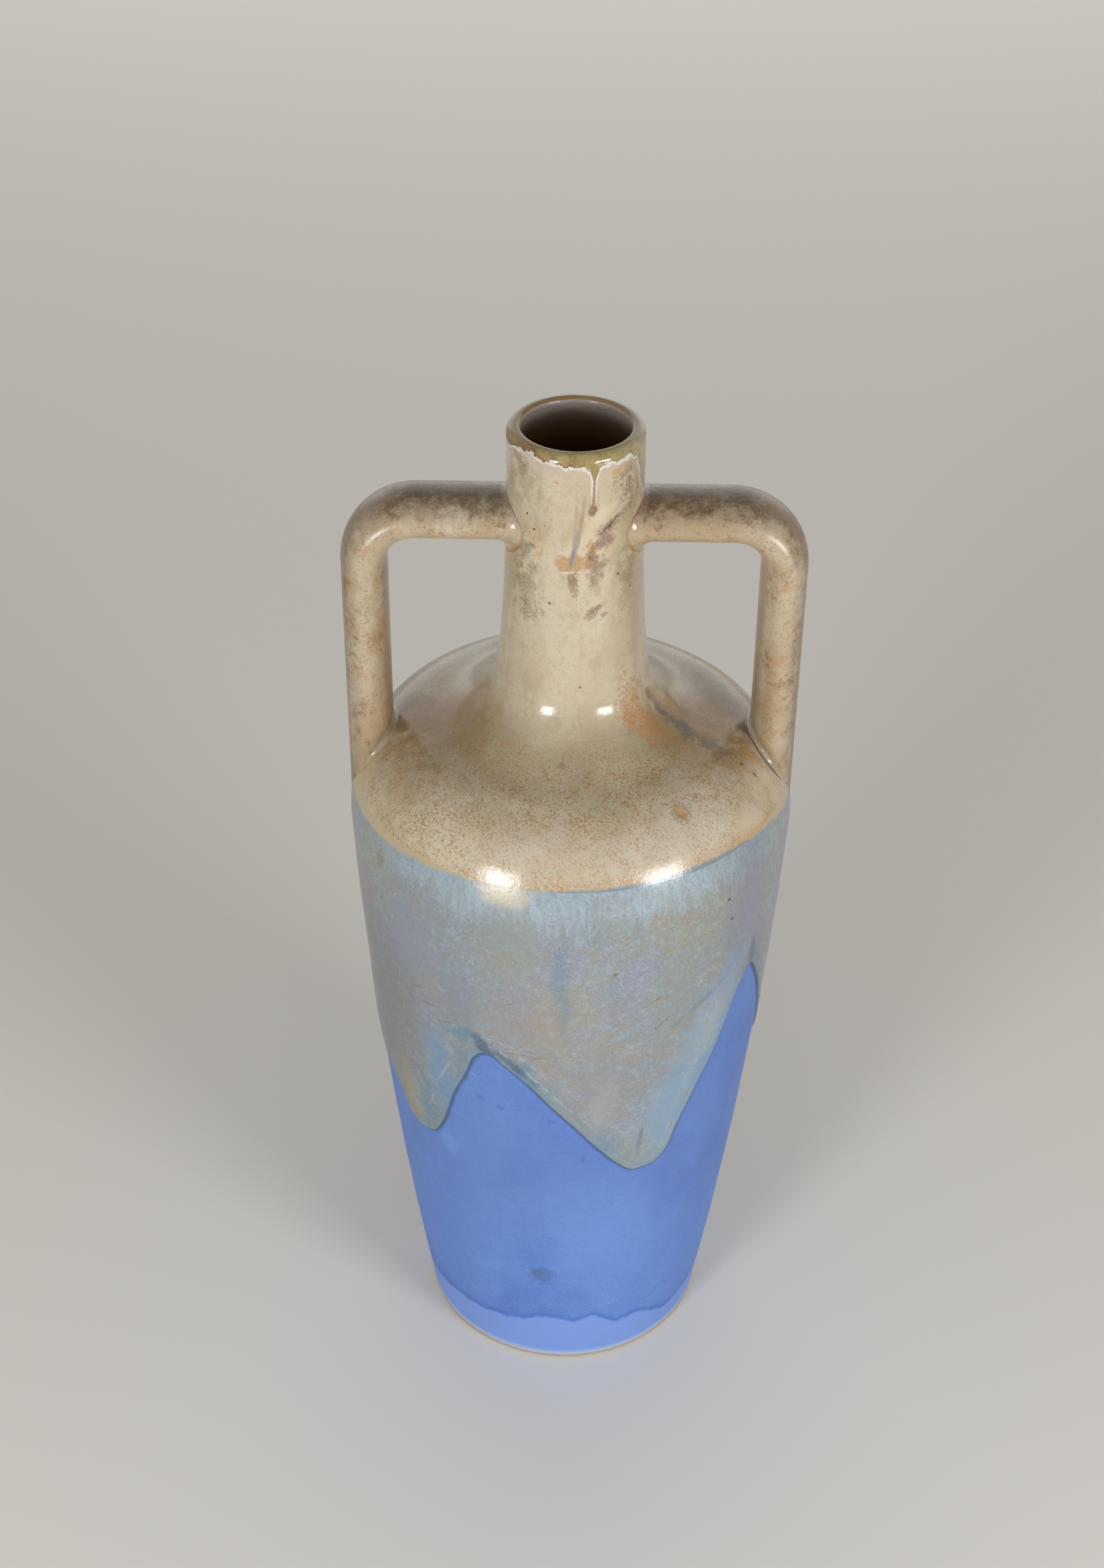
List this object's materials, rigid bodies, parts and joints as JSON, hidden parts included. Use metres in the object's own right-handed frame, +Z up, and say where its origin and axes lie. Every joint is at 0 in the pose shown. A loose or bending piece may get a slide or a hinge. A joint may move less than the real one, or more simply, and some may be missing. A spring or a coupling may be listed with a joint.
{
  "type": "two-handled stoneware bottle",
  "caption": "Tall two-handled stoneware bottle with a narrow neck, a domed shoulder and a glaze that runs in drips over a blue wall.",
  "frame": {"origin": "centre of the ring that the bottle stands on, at the table", "axes": "+Z up along the bottle's axis, X through both handles, -Y the front that the picture shows"},
  "size_m": [0.1216, 0.1216, 0.3],
  "materials": {
    "bare_stoneware": "matt bare fired clay",
    "inner_glaze": "dark brown satin glaze",
    "shoulder_glaze": "glossy beige, orange-brown specks",
    "neck_glaze": "glossy beige, brown patches",
    "lip_glaze": "glossy olive brown over cream",
    "handle_glaze": "glossy mottled beige and brown",
    "lute_glaze": "glossy orange beige",
    "blue_glaze": "glossy cornflower blue",
    "drip_glaze": "glossy pale grey blue, run in long drips"
  },
  "bodies": {
    "root": {"foot_base": "bare_stoneware", "body_wall": "inner_glaze", "shoulder_dome": "shoulder_glaze", "neck_tube": "neck_glaze", "rounded_lip": "lip_glaze", "lower_blue_glaze": "blue_glaze", "upper_drip_glaze": "drip_glaze", "handle_left": "handle_glaze", "handle_right": "handle_glaze", "neck_lute_left": "lute_glaze", "neck_lute_right": "lute_glaze", "shoulder_lute_left": "lute_glaze", "shoulder_lute_right": "lute_glaze"}
  },
  "joints": []
}
